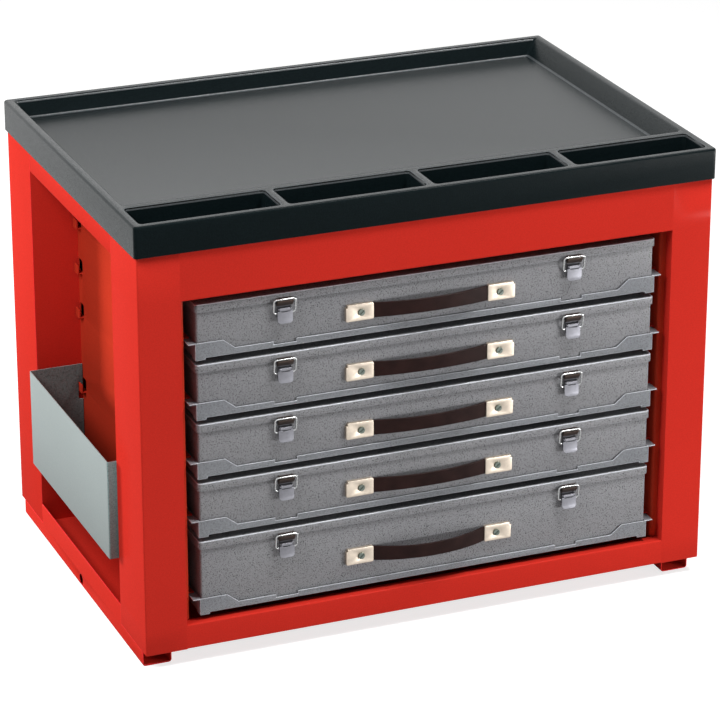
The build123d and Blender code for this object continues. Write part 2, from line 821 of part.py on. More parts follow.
for shelf in range(1, shelf_count + 1):
    lid_top = lid_top_z(shelf)
    height = case_height(shelf)
    deep = height == deep_case_height
    handle_drop = deep_handle_drop if deep else shallow_handle_drop
    strap_bow = deep_strap_bow if deep else shallow_strap_bow
    handle_z = lid_top - handle_drop
    number = "_" + str(shelf)

    label_and_save(carrier_tray(carrier_floor_z(shelf)), "carrier_tray" + number)
    label_and_save(case_base(lid_top - height, height), "case_base" + number)
    label_and_save(case_lid(lid_top), "case_lid" + number)
    label_and_save(handle_strap(handle_z, strap_bow), "handle_strap" + number)

    fittings = []
    for side, side_name in ((-1, "left"), (1, "right")):
        plane = latch_plane(mid_x + side * latch_offset, lid_top)
        label_and_save(latch_lever(plane), "latch_lever_" + side_name + number)
        label_and_save(latch_loop(plane), "latch_loop_" + side_name + number)
        fittings += latch_fixed_parts(plane)
        fittings += handle_cap(mid_x + side * handle_spacing / 2, handle_z, -side)
    label_and_save(Compound(children=fittings), "case_fittings" + number)
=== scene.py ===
import json
from math import asin, pi, radians

import bmesh
import bpy
from mathutils import Matrix, Vector


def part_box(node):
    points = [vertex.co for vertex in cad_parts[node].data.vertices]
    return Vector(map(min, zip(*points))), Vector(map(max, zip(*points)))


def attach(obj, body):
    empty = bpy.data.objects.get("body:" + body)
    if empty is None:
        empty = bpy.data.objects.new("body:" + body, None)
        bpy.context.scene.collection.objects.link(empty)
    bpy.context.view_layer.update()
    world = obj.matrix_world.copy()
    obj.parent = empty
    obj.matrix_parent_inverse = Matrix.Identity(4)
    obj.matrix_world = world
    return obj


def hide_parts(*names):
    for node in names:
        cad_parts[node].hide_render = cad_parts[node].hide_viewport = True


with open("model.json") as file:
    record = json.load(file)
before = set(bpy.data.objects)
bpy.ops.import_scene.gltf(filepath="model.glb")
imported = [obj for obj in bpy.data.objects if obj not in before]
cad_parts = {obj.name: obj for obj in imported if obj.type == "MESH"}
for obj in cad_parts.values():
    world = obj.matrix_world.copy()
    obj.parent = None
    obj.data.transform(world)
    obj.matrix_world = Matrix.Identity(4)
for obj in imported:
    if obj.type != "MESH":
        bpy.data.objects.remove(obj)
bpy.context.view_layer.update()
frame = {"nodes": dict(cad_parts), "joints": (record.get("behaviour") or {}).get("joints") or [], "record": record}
scene = bpy.context.scene
scene.view_settings.view_transform = "Standard"

mm = 0.001
vertKind, edgeKind, faceKind = bmesh.types.BMVert, bmesh.types.BMEdge, bmesh.types.BMFace
bodyOfNode = {}
for bodyName, nodeNames in frame["record"]["behaviour"]["bodies"].items():
    for nodeName in nodeNames:
        bodyOfNode[nodeName] = bodyName
pivotOf = {joint["name"]: Vector(joint["pos_m"]) for joint in frame["joints"] if "pos_m" in joint}
shelves = range(1, 6)


# Material helpers: scales are cells per metre, depths are metres

# most values of a noise pattern lie between these two
noiseLow, noiseHigh = 0.3, 0.7
# a colour multiplied by this stays as it is
unchanged = (1.0, 1.0, 1.0)


def startMaterial(name):
    material = bpy.data.materials.new(name)
    material.use_nodes = True
    return material, material.node_tree, material.node_tree.nodes["Principled BSDF"]


# object coordinates, so that every pattern has its real size
def placeCoords(tree):
    return tree.nodes.new("ShaderNodeTexCoord").outputs["Object"]


def noise(tree, coords, scale, detail=2.0, roughness=0.5):
    node = tree.nodes.new("ShaderNodeTexNoise")
    node.inputs["Scale"].default_value = scale
    node.inputs["Detail"].default_value = detail
    node.inputs["Roughness"].default_value = roughness
    tree.links.new(coords, node.inputs["Vector"])
    return node.outputs["Fac"]


def cells(tree, coords, scale):
    node = tree.nodes.new("ShaderNodeTexVoronoi")
    node.inputs["Scale"].default_value = scale
    tree.links.new(coords, node.inputs["Vector"])
    return node.outputs["Distance"]


def shade(colour, factor):
    return tuple(min(1.0, c * factor) for c in colour)


# colour ramp with stops of (place, colour)
def ramp(tree, value, stops):
    node = tree.nodes.new("ShaderNodeValToRGB")
    points = node.color_ramp.elements
    while len(points) < len(stops):
        points.new(0.5)
    for point, (place, colour) in zip(points, stops):
        point.position = place
        point.color = (*colour, 1.0)
    tree.links.new(value, node.inputs["Fac"])
    return node.outputs["Color"]


# the colour times low where the pattern is low, and times high where it is high
def tones(tree, value, colour, low, high):
    return ramp(tree, value, [(noiseLow, shade(colour, low)), (noiseHigh, shade(colour, high))])


def multiply(tree, first, second):
    node = tree.nodes.new("ShaderNodeMix")
    node.data_type = "RGBA"
    node.blend_type = "MULTIPLY"
    node.inputs["Factor"].default_value = 1.0
    tree.links.new(first, node.inputs["A"])
    tree.links.new(second, node.inputs["B"])
    return node.outputs["Result"]


def spread(tree, value, low, high, fromLow=noiseLow, fromHigh=noiseHigh):
    node = tree.nodes.new("ShaderNodeMapRange")
    node.inputs["From Min"].default_value = fromLow
    node.inputs["From Max"].default_value = fromHigh
    node.inputs["To Min"].default_value = low
    node.inputs["To Max"].default_value = high
    tree.links.new(value, node.inputs["Value"])
    return node.outputs["Result"]


def addBump(tree, height, depth, strength=1.0, before=None):
    node = tree.nodes.new("ShaderNodeBump")
    node.inputs["Distance"].default_value = depth
    node.inputs["Strength"].default_value = strength
    tree.links.new(height, node.inputs["Height"])
    if before is not None:
        tree.links.new(before, node.inputs["Normal"])
    return node.outputs["Normal"]


def setGloss(shader, specular, coat, coatRoughness):
    shader.inputs["Specular IOR Level"].default_value = specular
    shader.inputs["Coat Weight"].default_value = coat
    shader.inputs["Coat Roughness"].default_value = coatRoughness


# Finishes

enamelLook = {
    "fineScale": 750, "broadScale": 5, "cloud": 0.95, "roughness": (0.34, 0.46), "specular": 0.0,
    "coatRoughness": 0.14, "peelScale": 420, "peelDepth": 0.00006,
}


# sprayed and stoved enamel with a fine grain and a slight orange peel
def enamel(name, colour, coat, grain=0.09):
    look = enamelLook
    material, tree, shader = startMaterial(name)
    coords = placeCoords(tree)
    fine = noise(tree, coords, look["fineScale"], detail=3.0, roughness=0.7)
    broad = noise(tree, coords, look["broadScale"])
    base = tones(tree, fine, colour, 1 - grain, 1 + grain)
    cloud = tones(tree, broad, unchanged, look["cloud"], 1.0)
    tree.links.new(multiply(tree, base, cloud), shader.inputs["Base Color"])
    tree.links.new(spread(tree, fine, *look["roughness"]), shader.inputs["Roughness"])
    setGloss(shader, look["specular"], coat, look["coatRoughness"])
    peel = noise(tree, coords, look["peelScale"])
    tree.links.new(addBump(tree, peel, look["peelDepth"]), shader.inputs["Normal"])
    return material


# the first three are multiples of the finish's own scale
hammerLook = {
    "mottle": 1.8, "pits": 1.25, "dimples": 0.8, "broadScale": 9, "tones": (0.78, 1.22),
    "pitEdge": (0.37, 0.43), "cloud": (0.93, 0.93, 0.94), "roughness": (0.32, 0.50), "specular": 0.12,
    "coatRoughness": 0.2, "dimpleStrength": 0.7, "pitStrength": 0.8,
}


# hammer finish: a silvery grey paint that draws up into small dimples with dark pits
def hammertone(name, colour, speckle, coat=0.2, scale=700, depth=0.00010):
    look = hammerLook
    dark, light = look["tones"]
    pitLow, pitHigh = look["pitEdge"]
    material, tree, shader = startMaterial(name)
    coords = placeCoords(tree)
    mottle = noise(tree, coords, scale * look["mottle"], roughness=0.6)
    pits = noise(tree, coords, scale * look["pits"], roughness=0.6)
    broad = noise(tree, coords, look["broadScale"])
    stops = [(noiseLow, shade(colour, dark)), (0.5, colour), (noiseHigh, shade(colour, light))]
    base = ramp(tree, mottle, stops)
    pitted = ramp(tree, pits, [(pitLow, (1 - speckle,) * 3), (pitHigh, unchanged)])
    cloud = ramp(tree, broad, [(noiseLow, look["cloud"]), (noiseHigh, unchanged)])
    tree.links.new(multiply(tree, multiply(tree, base, pitted), cloud), shader.inputs["Base Color"])
    tree.links.new(spread(tree, mottle, *look["roughness"]), shader.inputs["Roughness"])
    setGloss(shader, look["specular"], coat, look["coatRoughness"])
    dimples = addBump(tree, cells(tree, coords, scale * look["dimples"]), depth, look["dimpleStrength"])
    tree.links.new(addBump(tree, pits, depth, look["pitStrength"], dimples), shader.inputs["Normal"])
    return material


mouldingLook = {
    "grainScale": 800, "patchScale": 14, "tones": (0.75, 1.3), "cloud": 0.9, "roughness": (0.36, 0.52),
    "specular": 0.02, "facing": (0.2, 0.62), "grainGloss": (0.72, 1.12), "grainRange": (0.35, 0.65),
    "grainDepth": 0.00022, "coatDepth": 0.00014, "grainStrength": 0.8,
}


# moulded plastic with a fine leathery grain, glossier where it is seen at a low angle
def moulding(name, colour, glossLow=0.06, glossHigh=0.95, coatRoughness=0.24):
    look = mouldingLook
    material, tree, shader = startMaterial(name)
    coords = placeCoords(tree)
    grain = noise(tree, coords, look["grainScale"], roughness=0.6)
    patches = noise(tree, coords, look["patchScale"], detail=3.0)
    base = tones(tree, grain, colour, *look["tones"])
    cloud = tones(tree, patches, unchanged, look["cloud"], 1.0)
    tree.links.new(multiply(tree, base, cloud), shader.inputs["Base Color"])
    tree.links.new(spread(tree, grain, *look["roughness"]), shader.inputs["Roughness"])
    setGloss(shader, look["specular"], 0.0, coatRoughness)
    angle = tree.nodes.new("ShaderNodeLayerWeight")
    angle.inputs["Blend"].default_value = 0.5
    gloss = tree.nodes.new("ShaderNodeMath")
    gloss.operation = "MULTIPLY"
    byAngle = spread(tree, angle.outputs["Facing"], glossLow, glossHigh, *look["facing"])
    byGrain = spread(tree, grain, *look["grainGloss"], *look["grainRange"])
    tree.links.new(byAngle, gloss.inputs[0])
    tree.links.new(byGrain, gloss.inputs[1])
    tree.links.new(gloss.outputs[0], shader.inputs["Coat Weight"])
    for socket, depth in (("Normal", look["grainDepth"]), ("Coat Normal", look["coatDepth"])):
        tree.links.new(addBump(tree, grain, depth, look["grainStrength"]), shader.inputs[socket])
    return material


metalLook = {
    "grainScale": 900, "tarnishScale": 260, "tarnish": 0.86, "vary": (-0.06, 0.08), "grainDepth": 0.00003,
    "grainStrength": 0.5,
}


# plated or plain steel with a very fine grain and a little variation in its tone
def brightMetal(name, colour, roughness, metallic=1.0):
    look = metalLook
    less, more = look["vary"]
    material, tree, shader = startMaterial(name)
    coords = placeCoords(tree)
    grain = noise(tree, coords, look["grainScale"], roughness=0.6)
    tarnish = noise(tree, coords, look["tarnishScale"], detail=3.0)
    tree.links.new(tones(tree, tarnish, colour, look["tarnish"], 1.0), shader.inputs["Base Color"])
    shader.inputs["Metallic"].default_value = metallic
    tree.links.new(spread(tree, grain, roughness + less, roughness + more), shader.inputs["Roughness"])
    tree.links.new(addBump(tree, grain, look["grainDepth"], look["grainStrength"]), shader.inputs["Normal"])
    return material


strapLook = {
    "poreScale": 900, "wearScale": 60, "tones": (0.75, 1.3), "roughness": (0.30, 0.42), "specular": 0.06,
    "coat": 0.10, "coatRoughness": 0.22, "poreDepth": 0.00006, "poreStrength": 0.6,
}


# dark vinyl with small pores, a little paler where it is worn
def strapVinyl(name, colour):
    look = strapLook
    material, tree, shader = startMaterial(name)
    coords = placeCoords(tree)
    pores = cells(tree, coords, look["poreScale"])
    wear = noise(tree, coords, look["wearScale"], detail=3.0)
    tree.links.new(tones(tree, wear, colour, *look["tones"]), shader.inputs["Base Color"])
    tree.links.new(spread(tree, wear, *look["roughness"]), shader.inputs["Roughness"])
    setGloss(shader, look["specular"], look["coat"], look["coatRoughness"])
    tree.links.new(addBump(tree, pores, look["poreDepth"], look["poreStrength"]), shader.inputs["Normal"])
    return material


redBody = enamel("redEnamelBody", (0.58, 0.028, 0.018), coat=0.035)
# the inner walls are the same enamel; this red is darker and browner than the body's, painted shade of the side
# recess
redInsidePaintedShade = enamel("redEnamelInside", (0.50, 0.038, 0.017), coat=0.04)
# a lighter, glossier red on the bevelled bends and edges: a painted highlight along them
redPaintedHighlight = enamel("redEnamelEdge", (0.92, 0.022, 0.030), coat=0.35)
blackTray = moulding("blackMouldedPlastic", (0.004, 0.008, 0.009))
# a much lighter black on the tray's bevelled rims and fillets: a painted highlight along them
trayPaintedHighlight = moulding("blackRubbedEdge", (0.046, 0.053, 0.057), glossLow=1.0, glossHigh=0.8, coatRoughness=0.32)
caseGrey = hammertone("greyHammertone", (0.262, 0.262, 0.272), speckle=0.75)
# a much lighter, bluish grey on the bevelled edges of cases, lids and carriers: a painted highlight along them
caseGreyPaintedHighlight = hammertone("greyRubbedEdge", (0.52, 0.54, 0.58), speckle=0.3, coat=1.0)
carrierGrey = hammertone("greyCarrierEnamel", (0.228, 0.237, 0.252), speckle=0.4)
binOutside = enamel("paleGreyEnamel", (0.300, 0.338, 0.333), coat=0.10, grain=0.05)
binEnd = hammertone("greyGreenHammertone", (0.215, 0.330, 0.325), speckle=0.25, scale=480)
binInside = hammertone("darkHammertone", (0.115, 0.140, 0.138), speckle=0.3, scale=360, depth=0.0003)
capPlate = brightMetal("nickelCapPlate", (0.70, 0.61, 0.51), roughness=0.50)
steelBright = brightMetal("brightSteelWire", (0.60, 0.61, 0.61), roughness=0.24)
steelScrew = brightMetal("dullSteelScrew", (0.230, 0.265, 0.235), roughness=0.30)
steelLever = brightMetal("plainSteelLever", (0.25, 0.25, 0.275), roughness=0.46)
# brown steel made near black for the latch catches: painted shade of their place inside the wire loops
steelBrownPaintedShade = brightMetal("darkBronzedSteel", (0.060, 0.042, 0.034), roughness=0.42, metallic=0.8)
strapBrown = strapVinyl("brownStrapVinyl", (0.018, 0.007, 0.006))
print("stage 1: finishes ready")


# Mesh helpers

limits = {
    "weld": 0.002 * mm,  # corners closer than this become one
    "flat": 0.5,  # faces that meet at fewer degrees become one
    "sharp": 30,  # edges of more degrees are softened
    "inPlane": 0.05 * mm,
    "drawnWeld": 0.001,  # for shapes still drawn in millimetres
    "drawnPlane": 0.01,
}


# makes the finished piece, which replaces its CAD nodes and rides on their body
def addPiece(bm, name, materials, nodes, sharp=limits["sharp"], bevelWidth=0.0, segments=2,
             byWeight=False, paintedHighlightSlot=-1):
    mesh = bpy.data.meshes.new(name)
    for face in bm.faces:
        face.smooth = True
    bm.to_mesh(mesh)
    bm.free()
    for material in materials:
        mesh.materials.append(material)
    if bevelWidth == 0.0:
        mesh.set_sharp_from_angle(angle=radians(sharp))
    piece = bpy.data.objects.new(name, mesh)
    scene.collection.objects.link(piece)
    if bevelWidth > 0.0:
        soften = piece.modifiers.new("softEdges", "BEVEL")
        soften.width = bevelWidth
        soften.segments = segments
        soften.limit_method = "WEIGHT" if byWeight else "ANGLE"
        soften.angle_limit = radians(sharp)
        soften.harden_normals = True
        # the bevel's faces take the material in this slot, which is a lighter painted highlight
        soften.material = paintedHighlightSlot
    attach(piece, bodyOfNode[nodes[0]])
    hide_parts(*nodes)
    return piece


def camelName(nodeName, ending):
    words = nodeName.split("_")
    return words[0] + "".join(word.capitalize() for word in words[1:]) + ending


# copy of a CAD node with its loose triangles merged into whole faces
def mergedCopy(nodeName):
    bm = bmesh.new()
    bm.from_mesh(frame["nodes"][nodeName].data)
    bmesh.ops.remove_doubles(bm, verts=bm.verts, dist=limits["weld"])
    bmesh.ops.dissolve_limit(bm, angle_limit=radians(limits["flat"]), verts=bm.verts, edges=bm.edges)
    return bm


def only(items, kind):
    return [item for item in items if isinstance(item, kind)]


def cornersOf(edges):
    return list(dict.fromkeys(vert for edge in edges for vert in edge.verts))


def edgesOf(verts):
    return list(dict.fromkeys(edge for vert in verts for edge in vert.link_edges))


def middleOf(edge):
    return (edge.verts[0].co + edge.verts[1].co) / 2


# whether both ends of an edge lie in a plane across the numbered axis
def liesIn(edge, axis, place, within=limits["inPlane"]):
    return all(abs(vert.co[axis] - place) < within for vert in edge.verts)


# edges in the front plane are wide bends, the others barely softened, and flush seams stay sharp
def weighEdges(bm, seamPlaces, openLow, openHigh, frontY):
    for height in (openLow, openHigh):
        cut = bmesh.ops.bisect_plane(bm, geom=[*bm.verts, *bm.edges, *bm.faces], plane_co=(0, 0, height),
                                     plane_no=(0, 0, 1))["geom_cut"]
        for edge in only(cut, edgeKind):
            edge.smooth = False
    weight = bm.edges.layers.float.new("bevel_weight_edge")
    for edge in bm.edges:
        if len(edge.link_faces) != 2 or edge.calc_face_angle(0.0) < radians(limits["sharp"]):
            continue
        atEnd = any(liesIn(edge, 0, place) for place in seamPlaces)
        if atEnd and not openLow < middleOf(edge).z < openHigh:
            edge.smooth = False
        else:
            edge[weight] = 1.0 if liesIn(edge, 1, frontY) else cabinet["softening"]


# edges above the height are softened in full, the other sharp ones by a share
def weighAbove(bm, height, share):
    weight = bm.edges.layers.float.new("bevel_weight_edge")
    for edge in bm.edges:
        if len(edge.link_faces) == 2 and edge.calc_face_angle(0.0) > radians(limits["sharp"]):
            edge[weight] = 1.0 if middleOf(edge).z > height else share


# cuts the geometry by planes, each a point and a direction
def cutBy(bm, geom, planes):
    for place, normal in planes:
        geom = bmesh.ops.bisect_plane(bm, geom=geom, plane_co=place, plane_no=normal)["geom"]
    return geom


def extrudeBy(bm, faces, step):
    grown = bmesh.ops.extrude_face_region(bm, geom=faces, use_keep_orig=True)["geom"]
    bmesh.ops.translate(bm, verts=only(grown, vertKind), vec=step)


# pushes one face out or in
def pushFace(bm, face, step):
    pushed = bmesh.ops.extrude_discrete_faces(bm, faces=[face])["faces"]
    bmesh.ops.translate(bm, verts=list(pushed[0].verts), vec=step)


# a flat outline of (x, y, z) points, cut across where it bends later, and drawn out into a solid
def drawOut(bm, outline, step, cuts=()):
    face = bm.faces.new([bm.verts.new(point) for point in outline])
    geom = cutBy(bm, [face, *face.edges, *face.verts], cuts)
    extrudeBy(bm, only(geom, faceKind), step)


# straight run on from an open ring of edges
def runOn(bm, ring, step):
    grown = bmesh.ops.extrude_edge_only(bm, edges=ring)["geom"]
    ends = only(grown, vertKind)
    bmesh.ops.translate(bm, verts=ends, vec=step)
    return [edge for edge in only(grown, edgeKind) if all(vert in ends for vert in edge.verts)]


# quarter bend on from an open ring of edges, about the y axis
def bendOn(bm, ring, centre, steps=5):
    last = bmesh.ops.spin(bm, geom=cornersOf(ring) + list(ring), cent=centre, axis=(0, 1, 0), dvec=(0, 0, 0),
                          angle=pi / 2, steps=steps, use_merge=False, use_duplicate=False)["geom_last"]
    return only(last, edgeKind)


def finishShell(bm):
    bmesh.ops.remove_doubles(bm, verts=bm.verts, dist=limits["drawnWeld"])
    bmesh.ops.recalc_face_normals(bm, faces=bm.faces)


# shapes are drawn in millimetres about a pivot, with y towards the case, and put in place here
def putAt(bm, place):
    bmesh.ops.transform(bm, matrix=Matrix.Translation(place) @ Matrix.Scale(mm, 4), verts=bm.verts)
    return bm


def joinInto(whole, part):
    mesh = bpy.data.meshes.new("joined")
    part.to_mesh(mesh)
    part.free()
    whole.from_mesh(mesh)
    bpy.data.meshes.remove(mesh)


# Cabinet of folded sheet

cabinet = {
    "edge": 0.35 * mm,
    "bend": 1.3 * mm,
    "softening": 0.2,
    "front": ["front_left_post", "front_right_post", "front_header", "front_sill"],
    "panels": ["roof_panel", "left_top_rail", "right_top_rail", "left_base_rail", "right_base_rail",
               "back_panel", "floor_panel"],
    "inside": ["left_inner_wall", "right_inner_wall"],
}
headerLow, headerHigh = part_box("front_header")
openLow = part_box("front_sill")[1].z
for nodeName in cabinet["front"]:
    bm = mergedCopy(nodeName)
    weighEdges(bm, (headerLow.x, headerHigh.x), openLow, headerLow.z, headerLow.y)
    addPiece(bm, camelName(nodeName, "Sheet"), [redBody, redPaintedHighlight], [nodeName],
             bevelWidth=cabinet["bend"], segments=3, byWeight=True, paintedHighlightSlot=1)
for nodeNames, material in ((cabinet["panels"], redBody), (cabinet["inside"], redInsidePaintedShade)):
    for nodeName in nodeNames:
        addPiece(mergedCopy(nodeName), camelName(nodeName, "Sheet"), [material, redPaintedHighlight], [nodeName],
                 bevelWidth=cabinet["edge"], paintedHighlightSlot=1)
print("stage 2: cabinet ready")


# Moulded tray on the roof

tray = {"edge": 1.5 * mm, "roundedDepth": 20.6 * mm, "lowShare": 0.06}
bm = mergedCopy("top_tray")
weighAbove(bm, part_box("top_tray")[1].z - tray["roundedDepth"], tray["lowShare"])
piece = addPiece(bm, "topTrayMoulding", [blackTray, trayPaintedHighlight], ["top_tray"],
                 bevelWidth=tray["edge"], segments=4, byWeight=True, paintedHighlightSlot=1)
# the small edges of the ribs below would otherwise hold the rim's rounding back
piece.modifiers["softEdges"].use_clamp_overlap = False


# Side bin: pale outer wall, hammered ends and inside

sideBin = {"edge": 0.4 * mm, "facing": 0.5}
bm = mergedCopy("side_bin")
low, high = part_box("side_bin")
binMiddle = (low + high) / 2
for face in bm.faces:
    centre = face.calc_center_median()
    isEnd = abs(face.normal.y) > sideBin["facing"]
    isFloor = face.normal.z > sideBin["facing"] and centre.z < binMiddle.z
    inward = Vector((0, binMiddle.y - centre.y, 0)) if isEnd else Vector((1, 0, 0))
    if isFloor or face.normal.dot(inward) > 0:
        face.material_index = 1
    elif isEnd:
        face.material_index = 2
addPiece(bm, "sideBinShell", [binOutside, binInside, binEnd], ["side_bin"],
         bevelWidth=sideBin["edge"])
print("stage 3: tray and bin ready")


# Cases and carriers

case = {"edge": 0.6 * mm, "lidEdge": 1.2 * mm, "carrierEdge": 0.4 * mm, "lidTop": 0.2 * mm, "lowShare": 0.15}
for n in shelves:
    for kind, ending, materials, slotName, edge in (
            ("case_base", "Box", [caseGrey, caseGreyPaintedHighlight], "hammered_grey", case["edge"]),
            ("case_lid", "Cover", [caseGrey, caseGreyPaintedHighlight], "hammered_grey", case["lidEdge"]),
            ("carrier_tray", "Sheet", [carrierGrey, caseGreyPaintedHighlight], "grey_enamel", case["carrierEdge"])):
        nodeName = "%s_%d" % (kind, n)
        isLid = kind == "case_lid"
        bm = mergedCopy(nodeName)
        if isLid:
            weighAbove(bm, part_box(nodeName)[1].z - case["lidTop"], case["lowShare"])
        addPiece(bm, camelName(nodeName, ending), materials, [nodeName], bevelWidth=edge,
                 segments=3, byWeight=isLid, paintedHighlightSlot=1)
print("stage 4: cases ready")


# Draw latches: wire loop, pressed lever, bracket with its pin, and catch

# drawn in millimetres from the lever's pin, with outlines as (y, z) and y towards the case
latch = {
    "wire": 0.95, "wireSides": 10, "loopHalf": 11.1, "tip": 7.2, "topBend": 2.4, "footBend": 2.8,
    "rise": 14.2, "lean": 1.7, "footBack": 0.5, "footDrop": 4.0,
    "leverHalf": 7.8, "leverTop": -1.5, "leverEnd": -13.6, "leverEdge": 0.22 * mm, "leverSharp": 40,
    "tipRound": 2.8, "tipShare": 0.3, "plate": 1.0, "slotHalf": 4.6, "slotLow": -2.4,
    "flare": 1.2, "flareCuts": (1.2, 2.4, 3.6), "flarePower": 1.5,
    "crown": 0.35, "crownCuts": (-5.2, -2.6, 0, 2.6, 5.2),
    "curlHalf": 5.6, "curlInner": 0.75, "curlOuter": 1.7, "curlLap": 0.1, "curlTurn": -220, "curlSteps": 11,
    "cheekInset": 0.9, "cheekWide": 0.8,
    "cheek": [(-0.8, -1.9), (1.5, -2.4), (2.1, -4.0), (1.5, -5.4), (-0.8, -8.0)],
    "backPlate": (0, 3.1, -3.0), "backThick": 1.0, "backTall": 12.0, "bracketEdge": 0.18 * mm,
    "earIn": 5.9, "earOut": 6.7,
    "ear": [(2.7, -3.0), (0.5, -1.3), (0.0, -1.4), (-0.7, -1.21), (-1.21, -0.7), (-1.4, 0.0), (-1.21, 0.7),
            (-0.7, 1.21), (0.0, 1.4), (2.7, 2.4)],
    "pin": 0.8, "pinSides": 12, "pinProud": 0.25,
    "catchHalf": 8.2, "catchEdge": 0.3 * mm,
    "catch": [(1.8, 11.4), (0.8, 11.4), (0.8, 8.9), (-2.5, 8.9), (-2.5, 9.6), (-3.4, 9.6), (-3.8, 9.2),
              (-3.8, 8.5), (-0.9, 4.3), (0.2, 3.5), (1.0, 3.5), (1.0, 7.6), (1.8, 7.6)],
}


# round wire bent into a loop, from one inturned foot up, across and down to the other
def wireLoop():
    bm = bmesh.new()
    half, top, foot = latch["loopHalf"], latch["topBend"], latch["footBend"]
    rise = (latch["rise"] ** 2 + latch["lean"] ** 2) ** 0.5
    turn = Matrix.Translation((-latch["tip"], 0, 0)) @ Matrix.Rotation(pi / 2, 4, "Y")
    start = bmesh.ops.create_circle(bm, cap_ends=True, segments=latch["wireSides"], radius=latch["wire"],
                                    matrix=turn)
    ring = runOn(bm, edgesOf(start["verts"]), (latch["tip"] + foot - half, 0, 0))
    ring = bendOn(bm, ring, (foot - half, 0, foot))
    ring = runOn(bm, ring, (0, 0, rise - foot - top))
    ring = bendOn(bm, ring, (top - half, 0, rise - top))
    ring = runOn(bm, ring, (2 * (half - top), 0, 0))
    ring = bendOn(bm, ring, (half - top, 0, rise - top))
    ring = runOn(bm, ring, (0, 0, foot + top - rise))
    ring = bendOn(bm, ring, (half - foot, 0, foot))
    ring = runOn(bm, ring, (latch["tip"] + foot - half, 0, 0))
    bmesh.ops.holes_fill(bm, edges=ring, sides=0)
    finishShell(bm)
    lean = Matrix.Rotation(asin(latch["lean"] / rise), 3, "X")
    bmesh.ops.rotate(bm, cent=(0, 0, 0), matrix=lean, verts=bm.verts)
    bmesh.ops.translate(bm, verts=bm.verts, vec=(0, latch["footBack"], -latch["footDrop"]))
    return bm


def pressedLever():
    half, top, end = latch["leverHalf"], latch["leverTop"], latch["leverEnd"]
    slotHalf, slotLow = latch["slotHalf"], latch["slotLow"]
    cut, part = latch["tipRound"], latch["tipShare"] * latch["tipRound"]
    corners = [(-half, top), (-slotHalf, top), (-slotHalf, slotLow), (slotHalf, slotLow), (slotHalf, top),
               (half, top), (half, end + cut), (half - part, end + part), (half - cut, end),
               (cut - half, end), (part - half, end + part), (-half, end + cut)]
    bends = [((0, 0, end + height), (0, 0, 1)) for height in latch["flareCuts"]]
    arcs = [((x, 0, 0), (1, 0, 0)) for x in latch["crownCuts"]]
    bm = bmesh.new()
    drawOut(bm, [(x, -latch["curlOuter"], z) for x, z in corners], (0, latch["plate"], 0), bends + arcs)
    # the plate is crowned across and flares out towards its lower end
    flareTall = latch["flareCuts"][-1]
    for vert in bm.verts:
        drop = max(0.0, end + flareTall - vert.co.z) / flareTall
        flare = latch["flare"] * drop ** latch["flarePower"]
        vert.co.y -= flare + latch["crown"] * (1 - (vert.co.x / half) ** 2)
    # curl round the pin, from just below it over the top to the back
    curl = bmesh.new()
    inner, outer, wide = latch["curlInner"], latch["curlOuter"], latch["curlHalf"]
    corners = [(-wide, -outer, 0), (wide, -outer, 0), (wide, -inner, 0), (-wide, -inner, 0)]
    section = curl.faces.new([curl.verts.new(point) for point in corners])
    extrudeBy(curl, [section], (0, 0, top - latch["curlLap"]))
    bmesh.ops.spin(curl, geom=[section], cent=(0, 0, 0), axis=(1, 0, 0), dvec=(0, 0, 0),
                   angle=radians(latch["curlTurn"]), steps=latch["curlSteps"], use_merge=False,
                   use_duplicate=False)
    joinInto(bm, curl)
    # cheeks that hold the loop
    for side in (-1, 1):
        cheek = [(side * (half - latch["cheekInset"]), y, z) for y, z in latch["cheek"]]
        drawOut(bm, cheek, (side * latch["cheekWide"], 0, 0))
    finishShell(bm)
    return bm


def latchBracket():
    bm = bmesh.new()
    size = Matrix.Diagonal((2 * latch["earOut"], latch["backThick"], latch["backTall"], 1.0))
    bmesh.ops.create_cube(bm, size=1.0, matrix=Matrix.Translation(latch["backPlate"]) @ size)
    for side in (-1, 1):
        ear = [(side * latch["earIn"], y, z) for y, z in latch["ear"]]
        drawOut(bm, ear, (side * (latch["earOut"] - latch["earIn"]), 0, 0))
    bmesh.ops.create_cone(bm, cap_ends=True, segments=latch["pinSides"], radius1=latch["pin"],
                          radius2=latch["pin"], depth=2 * (latch["earOut"] + latch["pinProud"]),
                          matrix=Matrix.Rotation(pi / 2, 4, "Y"))
    finishShell(bm)
    return bm


def latchCatch():
    bm = bmesh.new()
    drawOut(bm, [(-latch["catchHalf"], y, z) for y, z in latch["catch"]], (2 * latch["catchHalf"], 0, 0))
    finishShell(bm)
    return bm


for n in shelves:
    brackets = bmesh.new()
    catches = bmesh.new()
    for side in ("left", "right"):
        pivot = pivotOf["lever_%s_%d" % (side, n)]
        for make, nodeName, ending, material, edge in (
                (wireLoop, "latch_loop_%s_%d" % (side, n), "Wire", steelBright, 0.0),
                (pressedLever, "latch_lever_%s_%d" % (side, n), "Plate", steelLever, latch["leverEdge"])):
            addPiece(putAt(make(), pivot), camelName(nodeName, ending), [material], [nodeName],
                     sharp=latch["leverSharp"], bevelWidth=edge)
        joinInto(brackets, putAt(latchBracket(), pivot))
        joinInto(catches, putAt(latchCatch(), pivot))
    fittings = "case_fittings_%d" % n
    addPiece(brackets, "latchBrackets%d" % n, [steelLever], [fittings],
             bevelWidth=latch["bracketEdge"])
    addPiece(catches, "latchCatches%d" % n, [steelBrownPaintedShade], [fittings],
             bevelWidth=latch["catchEdge"])
print("stage 5: latches ready")


# Strap handles: end caps with their screws, and the strap

